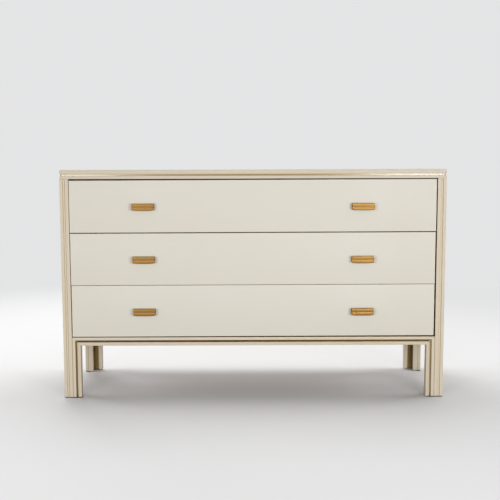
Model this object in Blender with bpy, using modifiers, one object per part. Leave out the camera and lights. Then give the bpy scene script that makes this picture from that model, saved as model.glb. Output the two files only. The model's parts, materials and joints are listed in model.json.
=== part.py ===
"""Three-drawer lowboy: reeded posts, mitred grooved mouldings and side-hung drawers.

Metres, +Z up, front towards -Y. The origin is on the floor, under the middle of the
overall box, which runs from the faces of the pulls to the back of the case.
"""
import math

import bmesh
import bpy
from mathutils import Matrix, Vector

# Case
CASE_WIDTH = 1.220
CASE_DEPTH = 0.455
LEG_OPENING_HEIGHT = 0.1705
SEAT_GAP = 0.0003

# Floor glides, an L under each leg
GLIDE_HEIGHT = 0.003
GLIDE_INSET = 0.001
GLIDE_EDGE = 0.0008

# Corner posts, with two reed lines on each outer face
POST_SIZE = 0.028
POST_EDGE_RADIUS = 0.0018
REED_START = 0.010
REED_WIDTH = 0.0065
REED_CROWN = 0.0006
LINE_WIDTH = 0.0012
LINE_DEPTH = 0.0013

# Grooved moulding of the aprons and leg linings
MOULDING_WIDTH = 0.027
MOULDING_DEPTH = 0.027
MOULDING_BOARD = 0.016
MOULDING_EDGE_RADIUS = 0.0007
OUTER_STRIP = 0.0097
GROOVE_WIDTH = 0.0065
GROOVE_DEPTH = 0.011
EDGE_LINE_SETBACK = 0.010

# Top panel and its moulded edge, from the upper bead down
TOP_THICKNESS = 0.029
TOP_FACE_CORNER_RADIUS = 0.002
BEAD_HEIGHT = 0.0131
BEAD_INSET = 0.005
FLUTE_HEIGHT = 0.0072
FLUTE_DEPTH = 0.0030
FLUTE_SLOPE = 0.0006
STRIP_EDGE_RADIUS = 0.0008

# Panels and rails of the case
SIDE_PANEL_THICKNESS = 0.016
SIDE_PANEL_RECESS = 0.002
BACK_PANEL_THICKNESS = 0.006
BACK_PANEL_RECESS = 0.004
BOTTOM_PANEL_THICKNESS = 0.012
RAIL_THICKNESS = 0.019
RAIL_DEPTH = 0.060
RAIL_SETBACK = 0.002

# Drawers, from the bottom up
DRAWER_NAMES = ("bottom_drawer", "middle_drawer", "top_drawer")
DRAWER_FRONT_HEIGHT = 0.164
DRAWER_FRONT_THICKNESS = 0.018
DRAWER_FRONT_EDGE = 0.0010
DRAWER_GAP = 0.003
TOP_GAP = 0.004
BOX_LIFT = 0.012
BOX_HEADROOM = 0.015
BOX_REAR_CLEARANCE = 0.027
BOX_SIDE_THICKNESS = 0.015
BOX_BACK_THICKNESS = 0.012
BOX_BACK_DROP = 0.010
BOX_BOTTOM_THICKNESS = 0.005
BOX_BOTTOM_RISE = 0.010
BOX_GROOVE_DEPTH = 0.006

# Drawer runners and their grooves in the drawer sides
RUNNER_HEIGHT = 0.016
RUNNER_RISE = 0.052
RUNNER_SETBACK = 0.060
RUNNER_END_GAP = 0.004
RUNNER_GROOVE_DEPTH = 0.008
RUNNER_SIDE_PLAY = 0.0005
RUNNER_UNDER_PLAY = 0.0007

# Brass pulls: a double-reeded lip over a finger space that opens downwards
PULL_WIDTH = 0.070
PULL_HEIGHT = 0.0225
PULL_PROJECTION = 0.020
PULL_LIP = 0.003
PULL_WEB = 0.0028
PULL_BACK_PLATE = 0.002
PULL_REED_CROWN = 0.0009
PULL_BOW = 0.0022
PULL_CORNER_RADIUS = 0.0025
PULL_OFFSET = 0.3468
PULL_DROP = 0.0025

MERGE_DISTANCE = 0.00001
ARC_STEPS = 3
REED_STEPS = 4

FRONT_Y = (PULL_PROJECTION + SEAT_GAP - CASE_DEPTH) / 2
BACK_Y = FRONT_Y + CASE_DEPTH
HALF_WIDTH = CASE_WIDTH / 2
APRON_TOP = LEG_OPENING_HEIGHT + MOULDING_WIDTH
DRAWER_PITCH = DRAWER_FRONT_HEIGHT + DRAWER_GAP
CASE_TOP = APRON_TOP + len(DRAWER_NAMES) * DRAWER_PITCH + TOP_GAP
LEG_FOOT = GLIDE_HEIGHT + SEAT_GAP
SIDE_INNER_X = HALF_WIDTH - SIDE_PANEL_RECESS - SIDE_PANEL_THICKNESS
DRAWER_HALF_WIDTH = HALF_WIDTH - POST_SIZE - DRAWER_GAP

# Colours as linear RGB, roughness, metallic
FINISHES = {
    "frame_lacquer": ((0.61, 0.53, 0.41), 0.32, 0.0),
    "front_lacquer": ((0.70, 0.67, 0.60), 0.32, 0.0),
    "pull_brass": ((0.32, 0.18, 0.05), 0.32, 1.0),
    "drawer_wood": ((0.58, 0.41, 0.24), 0.55, 0.0),
    "runner_wood": ((0.50, 0.31, 0.16), 0.50, 0.0),
    "back_board": ((0.33, 0.21, 0.12), 0.65, 0.0),
    "glide_nylon": ((0.05, 0.043, 0.036), 0.55, 0.0),
}


def clear_scene():
    for item in list(bpy.data.objects):
        bpy.data.objects.remove(item, do_unlink=True)


def make_collection(name):
    group = bpy.data.collections.new(name)
    bpy.context.scene.collection.children.link(group)
    return group


def make_materials():
    materials = {}
    for name, (colour, roughness, metallic) in FINISHES.items():
        material = bpy.data.materials.new(name)
        material.use_nodes = True
        shader = material.node_tree.nodes["Principled BSDF"]
        shader.inputs["Base Color"].default_value = (*colour, 1.0)
        shader.inputs["Roughness"].default_value = roughness
        shader.inputs["Metallic"].default_value = metallic
        materials[name] = material
    return materials


def arc(centre, radius, start, end, steps):
    """Points on an arc, ends included, with its angles in degrees."""
    points = []
    for step in range(steps + 1):
        angle = math.radians(start + (end - start) * step / steps)
        points.append((centre[0] + radius * math.cos(angle), centre[1] + radius * math.sin(angle)))
    return points


def crowned(start, end, crown, steps):
    """Points from start to end on a shallow arc that rises by crown to the left of travel."""
    start, end = Vector(start), Vector(end)
    along = end - start
    left = Vector((-along.y, along.x)).normalized()
    radius = along.length_squared / (8 * crown) + crown / 2
    half_angle = math.asin(along.length / 2 / radius)
    middle = (start + end) / 2
    points = []
    for step in range(steps + 1):
        angle = half_angle * (2 * step / steps - 1)
        rise = radius * (math.cos(angle) - 1) + crown
        points.append(tuple(middle + along.normalized() * radius * math.sin(angle) + left * rise))
    return points


def prism(outline, length):
    """A solid whose XY outline runs along Z, centred on the XY plane."""
    curve = bpy.data.curves.new("outline", "CURVE")
    curve.dimensions = "2D"
    curve.fill_mode = "BOTH"
    curve.extrude = length / 2
    spline = curve.splines.new("POLY")
    spline.points.add(len(outline) - 1)
    for point, (x, y) in zip(spline.points, outline):
        point.co = (x, y, 0.0, 1.0)
    spline.use_cyclic_u = True
    holder = bpy.data.objects.new("outline", curve)
    bpy.context.scene.collection.objects.link(holder)
    graph = bpy.context.evaluated_depsgraph_get()
    mesh = bpy.data.meshes.new_from_object(holder.evaluated_get(graph))
    bpy.data.objects.remove(holder)
    bpy.data.curves.remove(curve)
    shape = bmesh.new()
    shape.from_mesh(mesh)
    bpy.data.meshes.remove(mesh)
    bmesh.ops.remove_doubles(shape, verts=shape.verts, dist=MERGE_DISTANCE)
    bmesh.ops.recalc_face_normals(shape, faces=shape.faces)
    return shape


def box(low, high):
    """A box between two corners."""
    low, high = Vector(low), Vector(high)
    shape = bmesh.new()
    place = Matrix.Translation((low + high) / 2) @ Matrix.Diagonal((*(high - low), 1.0))
    bmesh.ops.create_cube(shape, size=1.0, matrix=place)
    return shape


def trim(shape, point, normal):
    """Cut the shape at a plane, drop what lies on the normal's side and close the cut."""
    geometry = shape.verts[:] + shape.edges[:] + shape.faces[:]
    cut = bmesh.ops.bisect_plane(
        shape, geom=geometry, plane_co=point, plane_no=normal, dist=MERGE_DISTANCE, clear_outer=True
    )
    edges = [item for item in cut["geom_cut"] if isinstance(item, bmesh.types.BMEdge)]
    bmesh.ops.holes_fill(shape, edges=edges, sides=0)
    bmesh.ops.recalc_face_normals(shape, faces=shape.faces)


def finished_mesh(name, shape):
    """A mesh from a shape, with round stretches shaded smooth and real edges kept sharp."""
    mesh = bpy.data.meshes.new(name)
    shape.to_mesh(mesh)
    shape.free()
    mesh.shade_smooth()
    mesh.set_sharp_from_angle(angle=math.radians(40))
    return mesh


class Build:
    """The collections, materials and the calls that put a finished shape in the scene."""

    def __init__(self):
        self.parts = make_collection("lowboy")
        self.cutters = make_collection("lowboy_cutters")
        self.materials = make_materials()

    def empty(self, name, location, turn=0.0):
        item = bpy.data.objects.new(name, None)
        item.location = location
        item.rotation_euler = (0.0, 0.0, turn)
        self.parts.objects.link(item)
        return item

    def part(self, name, shape, finish, location=(0, 0, 0), rotation=(0, 0, 0), parent=None):
        return self.place(name, finished_mesh(name, shape), finish, location, rotation, parent)

    def place(self, name, mesh, finish, location=(0, 0, 0), rotation=(0, 0, 0), parent=None):
        if not mesh.materials:
            mesh.materials.append(self.materials[finish])
        item = bpy.data.objects.new(name, mesh)
        item.location = location
        item.rotation_euler = rotation
        item.parent = parent
        self.parts.objects.link(item)
        return item

    def cut(self, item, shape, operation="DIFFERENCE"):
        """Cut or limit a part by a shape given in that part's own coordinates."""
        mesh = bpy.data.meshes.new(item.name + "_cutter")
        shape.to_mesh(mesh)
        shape.free()
        cutter = bpy.data.objects.new(mesh.name, mesh)
        cutter.parent = item
        cutter.hide_render = True
        cutter.display_type = "WIRE"
        self.cutters.objects.link(cutter)
        modifier = item.modifiers.new(operation.lower(), "BOOLEAN")
        modifier.operation = operation
        modifier.solver = "EXACT"
        modifier.object = cutter


def reeded_face():
    """One outer face of a post from its corner inwards: a strip, a reed between two lines, a strip."""
    first = REED_START
    second = REED_START + REED_WIDTH
    half = LINE_WIDTH / 2
    points = [(first - half, 0.0), (first, LINE_DEPTH)]
    points += crowned((second - half, REED_CROWN), (first + half, REED_CROWN), REED_CROWN, REED_STEPS)[::-1]
    points += [(second, LINE_DEPTH), (second + half, 0.0)]
    return points


def post_outline():
    """A square post whose corner at the origin is the outer one."""
    face = reeded_face()
    radius = POST_EDGE_RADIUS
    corner = arc((radius, radius), radius, 180, 270, ARC_STEPS)
    inner = [(POST_SIZE, 0.0), (POST_SIZE, POST_SIZE), (0.0, POST_SIZE)]
    return corner + face + inner + [(y, x) for x, y in reversed(face)]


def make_posts(build):
    corners = {
        "front_left_post": (-HALF_WIDTH, FRONT_Y),
        "front_right_post": (HALF_WIDTH, FRONT_Y),
        "rear_right_post": (HALF_WIDTH, BACK_Y),
        "rear_left_post": (-HALF_WIDTH, BACK_Y),
    }
    height = CASE_TOP - SEAT_GAP - LEG_FOOT
    post = finished_mesh("post", prism(post_outline(), height))
    glide = finished_mesh("glide", glide_shape())
    for quarter, (name, (x, y)) in enumerate(corners.items()):
        turn = (0.0, 0.0, quarter * math.pi / 2)
        build.place(name, post, "frame_lacquer", (x, y, LEG_FOOT + height / 2), turn)
        build.place(name.replace("post", "glide"), glide, "glide_nylon", (x, y, GLIDE_HEIGHT / 2), turn)


def glide_shape():
    """A thin L under a post and the two linings beside it, with an eased lower edge."""
    outer = GLIDE_INSET
    inner = MOULDING_BOARD - GLIDE_INSET
    end = POST_SIZE + SEAT_GAP + MOULDING_WIDTH - GLIDE_INSET
    outline = [(outer, outer), (end, outer), (end, inner), (inner, inner), (inner, end), (outer, end)]
    shape = prism(outline, GLIDE_HEIGHT)
    bmesh.ops.dissolve_limit(shape, angle_limit=math.radians(1), verts=shape.verts, edges=shape.edges)
    rim = [edge for edge in shape.edges if all(vert.co.z < 0 for vert in edge.verts)]
    bmesh.ops.bevel(
        shape, geom=rim, offset=GLIDE_EDGE, segments=2, profile=0.5, affect="EDGES", material=-1
    )
    return shape


def moulding_outline():
    """The grooved moulding: across its width from the outer edge, and back from its face."""
    radius = MOULDING_EDGE_RADIUS
    groove_end = OUTER_STRIP + GROOVE_WIDTH
    half = LINE_WIDTH / 2
    outline = [(0.0, 0.0)]
    outline += arc((OUTER_STRIP - radius, radius), radius, 270, 360, ARC_STEPS)
    outline += [(OUTER_STRIP, GROOVE_DEPTH), (groove_end, GROOVE_DEPTH)]
    outline += arc((groove_end + radius, radius), radius, 180, 270, ARC_STEPS)
    outline += arc((MOULDING_WIDTH - radius, radius), radius, 270, 360, ARC_STEPS)
    outline += [
        (MOULDING_WIDTH, EDGE_LINE_SETBACK - half),
        (MOULDING_WIDTH - LINE_DEPTH, EDGE_LINE_SETBACK),
        (MOULDING_WIDTH, EDGE_LINE_SETBACK + half),
        (MOULDING_WIDTH, MOULDING_DEPTH),
        (groove_end, MOULDING_DEPTH),
        (groove_end, MOULDING_BOARD),
        (0.0, MOULDING_BOARD),
    ]
    return outline


def moulding(length, mitre_start, mitre_end):
    """A length of moulding along +X, its face at Y 0 and its outer edge at Z 0, mitred at its ends."""
    shape = prism(moulding_outline(), length)
    stand = Matrix(((0, 0, 1, length / 2), (0, 1, 0, 0), (-1, 0, 0, 0), (0, 0, 0, 1)))
    bmesh.ops.transform(shape, matrix=stand, verts=shape.verts)
    bmesh.ops.recalc_face_normals(shape, faces=shape.faces)
    half_gap = SEAT_GAP / 2
    if mitre_start:
        normal = Vector((-1, 0, -1)).normalized()
        trim(shape, -normal * half_gap, normal)
    if mitre_end:
        normal = Vector((1, 0, -1)).normalized()
        trim(shape, Vector((length, 0, 0)) - normal * half_gap, normal)
    return shape


def make_mouldings(build):
    """The apron of each side and the linings of its two legs, in that side's own frame."""
    middle = (FRONT_Y + BACK_Y) / 2
    half_depth = CASE_DEPTH / 2
    legs = ("front_left_leg", "front_right_leg", "rear_right_leg", "rear_left_leg")
    sides = (
        ("front", "front", (0, FRONT_Y), HALF_WIDTH),
        ("right", "side", (HALF_WIDTH, middle), half_depth),
        ("rear", "rear", (0, BACK_Y), HALF_WIDTH),
        ("left", "side", (-HALF_WIDTH, middle), half_depth),
    )
    for quarter, (side, facing, (x, y), half) in enumerate(sides):
        left_name = f"{legs[quarter]}_{facing}_lining"
        right_name = f"{legs[(quarter + 1) % len(legs)]}_{facing}_lining"
        frame = build.empty(side + "_frame", (x, y, 0), quarter * math.pi / 2)
        reach = half - POST_SIZE - SEAT_GAP
        apron = moulding(2 * reach, True, True)
        build.part(side + "_apron", apron, "frame_lacquer", (-reach, 0, APRON_TOP), parent=frame)
        length = APRON_TOP - LEG_FOOT
        left = moulding(length, False, True)
        build.part(left_name, left, "frame_lacquer", (-reach, 0, LEG_FOOT), (0, -math.pi / 2, 0), frame)
        right = moulding(length, True, False)
        build.part(right_name, right, "frame_lacquer", (reach, 0, APRON_TOP), (0, math.pi / 2, 0), frame)


def top_edge():
    """The moulded edge from the top face down, as insets and heights over the panel's underside."""
    bead_foot = TOP_THICKNESS - BEAD_HEIGHT
    flute_foot = bead_foot - FLUTE_HEIGHT
    lip = STRIP_EDGE_RADIUS
    edge = []
    for step in range(2 * ARC_STEPS + 1):
        angle = math.pi / 2 * step / (2 * ARC_STEPS)
        inset = BEAD_INSET * (1 - math.sin(angle))
        edge.append((inset, bead_foot + BEAD_HEIGHT / 2 * (1 + math.cos(angle))))
    edge += arc((lip, bead_foot + lip), lip, 180, 270, ARC_STEPS)
    edge += [(FLUTE_DEPTH, bead_foot - FLUTE_SLOPE), (FLUTE_DEPTH, flute_foot + FLUTE_SLOPE)]
    edge += arc((lip, flute_foot - lip), lip, 90, 180, ARC_STEPS)
    edge += arc((lip, lip), lip, 180, 270, ARC_STEPS)
    return edge


def rounded_ring(shape, half_x, half_y, radius, height):
    """A closed ring of edges round a rectangle with rounded corners."""
    verts = []
    for quarter, (x, y) in enumerate(((1, 1), (-1, 1), (-1, -1), (1, -1))):
        centre = (x * (half_x - radius), y * (half_y - radius))
        for px, py in arc(centre, radius, quarter * 90, quarter * 90 + 90, ARC_STEPS):
            verts.append(shape.verts.new((px, py, height)))
    return [shape.edges.new((vert, verts[index - 1])) for index, vert in enumerate(verts)]


def make_top(build):
    """The top panel: rings of the edge profile, bridged and closed above and below."""
    shape = bmesh.new()
    rings = []
    for inset, height in top_edge():
        radius = TOP_FACE_CORNER_RADIUS + BEAD_INSET - inset
        rings.append(rounded_ring(shape, HALF_WIDTH - inset, CASE_DEPTH / 2 - inset, radius, height))
    for upper, lower in zip(rings, rings[1:]):
        bmesh.ops.bridge_loops(shape, edges=upper + lower)
    for ring in (rings[0], rings[-1]):
        bmesh.ops.holes_fill(shape, edges=ring, sides=0)
    bmesh.ops.recalc_face_normals(shape, faces=shape.faces)
    build.part("top_panel", shape, "frame_lacquer", (0, (FRONT_Y + BACK_Y) / 2, CASE_TOP))


def make_panels(build):
    """Side panels, back panel and the two top rails."""
    front = FRONT_Y + POST_SIZE + SEAT_GAP
    rear = BACK_Y - POST_SIZE - SEAT_GAP
    low = APRON_TOP + SEAT_GAP
    high = CASE_TOP - SEAT_GAP
    outer = HALF_WIDTH - SIDE_PANEL_RECESS
    build.part("left_side_panel", box((-outer, front, low), (-SIDE_INNER_X, rear, high)), "frame_lacquer")
    build.part("right_side_panel", box((SIDE_INNER_X, front, low), (outer, rear, high)), "frame_lacquer")

    reach = HALF_WIDTH - POST_SIZE - SEAT_GAP
    outside = BACK_Y - BACK_PANEL_RECESS
    back = box((-reach, outside - BACK_PANEL_THICKNESS, low), (reach, outside, high))
    build.part("back_panel", back, "back_board")

    reach = SIDE_INNER_X - SEAT_GAP
    under = high - RAIL_THICKNESS
    starts = {"front_top_rail": front + RAIL_SETBACK, "rear_top_rail": rear - RAIL_SETBACK - RAIL_DEPTH}
    for name, start in starts.items():
        build.part(name, box((-reach, start, under), (reach, start + RAIL_DEPTH, high)), "drawer_wood")


def make_bottom_panel(build):
    """The bottom panel lies on the ledges inside the aprons and is notched round the posts."""
    margin = MOULDING_BOARD + SEAT_GAP
    notch = POST_SIZE - MOULDING_BOARD
    half_x = HALF_WIDTH - margin
    half_y = CASE_DEPTH / 2 - margin
    outline = []
    for x, y in ((1, 1), (-1, 1), (-1, -1), (1, -1)):
        corner = [
            (x * half_x, y * (half_y - notch)),
            (x * (half_x - notch), y * (half_y - notch)),
            (x * (half_x - notch), y * half_y),
        ]
        outline += corner if x * y > 0 else corner[::-1]
    ledge = LEG_OPENING_HEIGHT + MOULDING_WIDTH - OUTER_STRIP - GROOVE_WIDTH
    height = ledge + SEAT_GAP + BOTTOM_PANEL_THICKNESS / 2
    shape = prism(outline, BOTTOM_PANEL_THICKNESS)
    build.part("bottom_panel", shape, "drawer_wood", (0, (FRONT_Y + BACK_Y) / 2, height))


def drawer_base(index):
    """The height of a drawer front's lower edge."""
    return APRON_TOP + DRAWER_GAP + index * DRAWER_PITCH


def make_runners(build):
    """Hardwood runners on the side panels, ending short of the posts' inner faces."""
    inner = DRAWER_HALF_WIDTH - RUNNER_GROOVE_DEPTH + RUNNER_SIDE_PLAY
    outer = SIDE_INNER_X - SEAT_GAP
    front = FRONT_Y + RUNNER_SETBACK
    rear = BACK_Y - POST_SIZE - RUNNER_END_GAP
    for index, name in enumerate(DRAWER_NAMES):
        low = drawer_base(index) + BOX_LIFT + RUNNER_RISE
        high = low + RUNNER_HEIGHT
        build.part(name + "_left_runner", box((-outer, front, low), (-inner, rear, high)), "runner_wood")
        build.part(name + "_right_runner", box((inner, front, low), (outer, rear, high)), "runner_wood")


def make_drawer(build, name, index, pull_mesh):
    """A drawer in the frame of its empty, at the middle of its front's lower outer edge."""
    slide = build.empty(name, (0, FRONT_Y, drawer_base(index)))
    box_front = DRAWER_FRONT_THICKNESS + SEAT_GAP
    box_rear = CASE_DEPTH - BACK_PANEL_RECESS - BACK_PANEL_THICKNESS - BOX_REAR_CLEARANCE
    box_top = DRAWER_FRONT_HEIGHT + TOP_GAP - RAIL_THICKNESS - SEAT_GAP - BOX_HEADROOM
    inside = DRAWER_HALF_WIDTH - BOX_SIDE_THICKNESS
    floor = BOX_LIFT + BOX_BOTTOM_RISE
    groove = inside + BOX_GROOVE_DEPTH
    groove_front = DRAWER_FRONT_THICKNESS - BOX_GROOVE_DEPTH
    floor_slot_low = floor - SEAT_GAP
    floor_slot_high = floor + BOX_BOTTOM_THICKNESS + SEAT_GAP

    front = build.part(
        name + "_front",
        box((-DRAWER_HALF_WIDTH, 0, 0), (DRAWER_HALF_WIDTH, DRAWER_FRONT_THICKNESS, DRAWER_FRONT_HEIGHT)),
        "front_lacquer",
        parent=slide,
    )
    edges = front.modifiers.new("eased_edges", "BEVEL")
    edges.width = DRAWER_FRONT_EDGE
    edges.segments = 2
    build.cut(front, box((-groove, groove_front, floor_slot_low), (groove, box_front, floor_slot_high)))

    for side, sign in (("left", -1), ("right", 1)):
        make_drawer_side(build, name, side, sign, slide, (box_front, box_rear, box_top))

    back_front = box_rear - BOX_BACK_THICKNESS
    reach = inside - SEAT_GAP
    back = box((-reach, back_front, floor_slot_high), (reach, box_rear, box_top - BOX_BACK_DROP))
    build.part(name + "_back", back, "drawer_wood", parent=slide)
    reach = groove - SEAT_GAP
    bottom = box((-reach, groove_front + SEAT_GAP, floor), (reach, box_rear, floor + BOX_BOTTOM_THICKNESS))
    build.part(name + "_bottom", bottom, "drawer_wood", parent=slide)

    pull_height = DRAWER_FRONT_HEIGHT / 2 - PULL_DROP
    for side, sign in (("left", -1), ("right", 1)):
        place = (sign * PULL_OFFSET, -SEAT_GAP, pull_height)
        pull = build.place(f"{name}_{side}_pull", pull_mesh, "pull_brass", place, parent=slide)
        build.cut(pull, pull_shield(), "INTERSECT")


def make_drawer_side(build, name, side, sign, slide, extent):
    """A drawer side, with the runner's stopped groove outside and the bottom's groove inside."""
    front, rear, top = extent
    low = Vector((DRAWER_HALF_WIDTH - BOX_SIDE_THICKNESS, front, BOX_LIFT))
    high = Vector((DRAWER_HALF_WIDTH, rear, top))
    runner_low = BOX_LIFT + RUNNER_RISE - RUNNER_UNDER_PLAY
    runner_high = BOX_LIFT + RUNNER_RISE + RUNNER_HEIGHT + SEAT_GAP
    floor = BOX_LIFT + BOX_BOTTOM_RISE
    past = BOX_SIDE_THICKNESS
    runner_groove = (
        (high.x - RUNNER_GROOVE_DEPTH, RUNNER_SETBACK - SEAT_GAP, runner_low),
        (high.x + past, rear + past, runner_high),
    )
    floor_groove = (
        (low.x - past, front - past, floor - SEAT_GAP),
        (low.x + BOX_GROOVE_DEPTH, rear + past, floor + BOX_BOTTOM_THICKNESS + SEAT_GAP),
    )
    item = build.part(f"{name}_{side}_side", mirrored_box(low, high, sign), "drawer_wood", parent=slide)
    for corners in (runner_groove, floor_groove):
        build.cut(item, mirrored_box(*corners, sign))


def mirrored_box(low, high, sign):
    """A box for the right-hand side, or its mirror image for the left-hand side."""
    near, far = sorted((sign * low[0], sign * high[0]))
    return box((near, low[1], low[2]), (far, high[1], high[2]))


def pull_section():
    """The pull from its end: back plate, web and a lip of two reeds, as distance out and height.

    It runs on below the pull, where the outline from the front cuts it to the bowed edge.
    """
    half = PULL_HEIGHT / 2
    inner_lip = PULL_PROJECTION - PULL_LIP
    face = PULL_PROJECTION - PULL_REED_CROWN
    under_web = half - PULL_WEB
    below = -half - PULL_BOW
    section = [(0.0, below), (PULL_BACK_PLATE, below), (PULL_BACK_PLATE, under_web)]
    section += [(inner_lip, under_web), (inner_lip, below), (face, below)]
    section += crowned((face, 0.0), (face, -half), PULL_REED_CROWN, REED_STEPS)[::-1]
    section += crowned((face, half), (face, 0.0), PULL_REED_CROWN, REED_STEPS)[::-1][1:]
    return section + [(0.0, half)]


def make_pull_mesh():
    """The pull's section run along X, longer than the pull, with its back plate against Y 0."""
    shape = prism(pull_section(), PULL_WIDTH + PULL_HEIGHT)
    lie = Matrix(((0, 0, -1, 0), (-1, 0, 0, 0), (0, 1, 0, 0), (0, 0, 0, 1)))
    bmesh.ops.transform(shape, matrix=lie, verts=shape.verts)
    bmesh.ops.recalc_face_normals(shape, faces=shape.faces)
    return finished_mesh("pull", shape)


def pull_shield():
    """The pull's outline from the front: square above, with a bowed lower edge and eased corners."""
    half_x = PULL_WIDTH / 2
    half_z = PULL_HEIGHT / 2
    radius = PULL_CORNER_RADIUS
    shoulder = PULL_BOW - half_z
    outline = [(half_x, PULL_HEIGHT), (-half_x, PULL_HEIGHT)]
    outline += arc((radius - half_x, shoulder + radius), radius, 180, 270, ARC_STEPS)
    bow = crowned((half_x - radius, shoulder), (radius - half_x, shoulder), PULL_BOW, 2 * REED_STEPS)
    outline += bow[::-1][1:-1]
    outline += arc((half_x - radius, shoulder + radius), radius, 270, 360, ARC_STEPS)
    shape = prism(outline, 4 * PULL_PROJECTION)
    stand = Matrix(((1, 0, 0, 0), (0, 0, -1, 0), (0, 1, 0, 0), (0, 0, 0, 1)))
    bmesh.ops.transform(shape, matrix=stand, verts=shape.verts)
    bmesh.ops.recalc_face_normals(shape, faces=shape.faces)
    return shape


def main():
    clear_scene()
    build = Build()
    make_posts(build)
    make_mouldings(build)
    make_top(build)
    make_panels(build)
    make_bottom_panel(build)
    make_runners(build)
    pull_mesh = make_pull_mesh()
    for index, name in enumerate(DRAWER_NAMES):
        make_drawer(build, name, index, pull_mesh)


main()
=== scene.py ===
import json
import math

import bmesh
import bpy
from bmesh.types import BMEdge, BMFace, BMVert
from mathutils import Matrix, Vector

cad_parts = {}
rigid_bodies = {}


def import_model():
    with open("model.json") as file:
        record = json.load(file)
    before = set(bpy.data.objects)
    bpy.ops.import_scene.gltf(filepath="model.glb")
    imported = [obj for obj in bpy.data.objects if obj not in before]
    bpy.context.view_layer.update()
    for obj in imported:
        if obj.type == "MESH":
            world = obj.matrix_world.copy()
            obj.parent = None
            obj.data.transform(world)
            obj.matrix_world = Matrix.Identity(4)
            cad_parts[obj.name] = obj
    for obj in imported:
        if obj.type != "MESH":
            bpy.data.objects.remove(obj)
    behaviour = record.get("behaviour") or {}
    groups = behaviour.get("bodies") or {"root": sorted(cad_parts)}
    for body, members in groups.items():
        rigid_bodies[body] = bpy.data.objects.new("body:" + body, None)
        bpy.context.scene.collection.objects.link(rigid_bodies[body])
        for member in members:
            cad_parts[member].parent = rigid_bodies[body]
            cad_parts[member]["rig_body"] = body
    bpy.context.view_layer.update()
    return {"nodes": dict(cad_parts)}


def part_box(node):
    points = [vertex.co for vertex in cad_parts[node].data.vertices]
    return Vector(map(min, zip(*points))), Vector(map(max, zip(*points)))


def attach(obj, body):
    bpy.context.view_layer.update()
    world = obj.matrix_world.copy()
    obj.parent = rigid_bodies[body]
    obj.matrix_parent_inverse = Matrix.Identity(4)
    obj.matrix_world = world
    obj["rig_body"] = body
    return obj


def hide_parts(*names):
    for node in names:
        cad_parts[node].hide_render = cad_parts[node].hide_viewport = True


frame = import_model()
scene = bpy.context.scene
scene.view_settings.view_transform = "Standard"

# levels that the pieces share, read from the frame
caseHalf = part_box("front_right_post")[1].x
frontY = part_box("front_left_post")[0].y
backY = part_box("rear_left_post")[1].y
middleY = (frontY + backY) / 2
footZ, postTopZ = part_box("front_left_post")[0].z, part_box("front_left_post")[1].z
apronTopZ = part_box("front_apron")[1].z
seatGap = 0.0003  # play between fixed pieces
legCorners = (
    ("front_left", -caseHalf, frontY),
    ("front_right", caseHalf, frontY),
    ("rear_right", caseHalf, backY),
    ("rear_left", -caseHalf, backY),
)
drawerNames = ("bottom_drawer", "middle_drawer", "top_drawer")
print("lowboy: frame loaded,", len(frame["nodes"]), "nodes")

# the view of the photograph, a square picture
cameraSetup = {
    "lens": 68.31,
    "sensor": 36.0,
    "place": (-0.0119, -3.2179, 0.7285),
    "pitch": 6.712,  # degrees, downwards
    "yaw": 0.025,
    "roll": -0.180,
    "shiftUp": 0.0638,  # the picture is cut from above the middle of the view
}


def makeCamera():
    data = bpy.data.cameras.new("camera")
    data.lens = cameraSetup["lens"]
    data.sensor_width = cameraSetup["sensor"]
    data.shift_y = cameraSetup["shiftUp"]
    camera = bpy.data.objects.new("camera", data)
    scene.collection.objects.link(camera)
    turn = Matrix.Rotation(math.radians(-cameraSetup["yaw"]), 4, "Z")
    tilt = Matrix.Rotation(math.radians(90 - cameraSetup["pitch"]), 4, "X")
    roll = Matrix.Rotation(math.radians(cameraSetup["roll"]), 4, "Z")
    camera.matrix_world = Matrix.Translation(cameraSetup["place"]) @ turn @ tilt @ roll
    scene.camera = camera


# small helpers for node trees
def addNode(tree, kind, inputs=None, **settings):
    node = tree.nodes.new("ShaderNode" + kind)
    for key, value in settings.items():
        setattr(node, key, value)
    for key, value in (inputs or {}).items():
        if isinstance(value, bpy.types.NodeSocket):
            tree.links.new(value, node.inputs[key])
        else:
            node.inputs[key].default_value = value
    return node


def startFinish(name, sockets):
    finish = bpy.data.materials.new(name)
    finish.use_nodes = True
    tree = finish.node_tree
    shader = tree.nodes["Principled BSDF"]
    for socket, value in sockets.items():
        shader.inputs[socket].default_value = value
    return finish, tree, shader


def placed(tree, scale=(1, 1, 1)):
    inputs = {"Vector": addNode(tree, "TexCoord").outputs["Object"], "Scale": scale}
    return addNode(tree, "Mapping", inputs).outputs[0]


def noise(tree, vector, scale, detail=3.0, roughness=0.55, distortion=0.0):
    inputs = {"Vector": vector, "Scale": scale, "Detail": detail}
    inputs.update({"Roughness": roughness, "Distortion": distortion})
    return addNode(tree, "TexNoise", inputs).outputs["Fac"]


def grainNoise(tree, axis, along, across, detail, roughness, distortion=0.0):
    # noise drawn out along one axis
    scale = tuple(along if name == axis else across for name in "XYZ")
    return noise(tree, placed(tree, scale), 1.0, detail, roughness, distortion)


def remap(tree, value, low, high, toLow, toHigh):
    return addNode(tree, "MapRange", {0: value, 1: low, 2: high, 3: toLow, 4: toHigh}).outputs[0]


def combine(tree, operation, first, second):
    node = addNode(tree, "Math", {0: first, 1: second}, operation=operation, use_clamp=True)
    return node.outputs[0]


def blend(tree, factor, first, second):
    inputs = {0: factor}
    for index, colour in ((6, first), (7, second)):
        inputs[index] = colour if isinstance(colour, bpy.types.NodeSocket) else (*colour, 1.0)
    return addNode(tree, "Mix", inputs, data_type="RGBA").outputs[2]


def marked(tree, name):
    return addNode(tree, "Attribute", attribute_name=name).outputs["Fac"]


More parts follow.
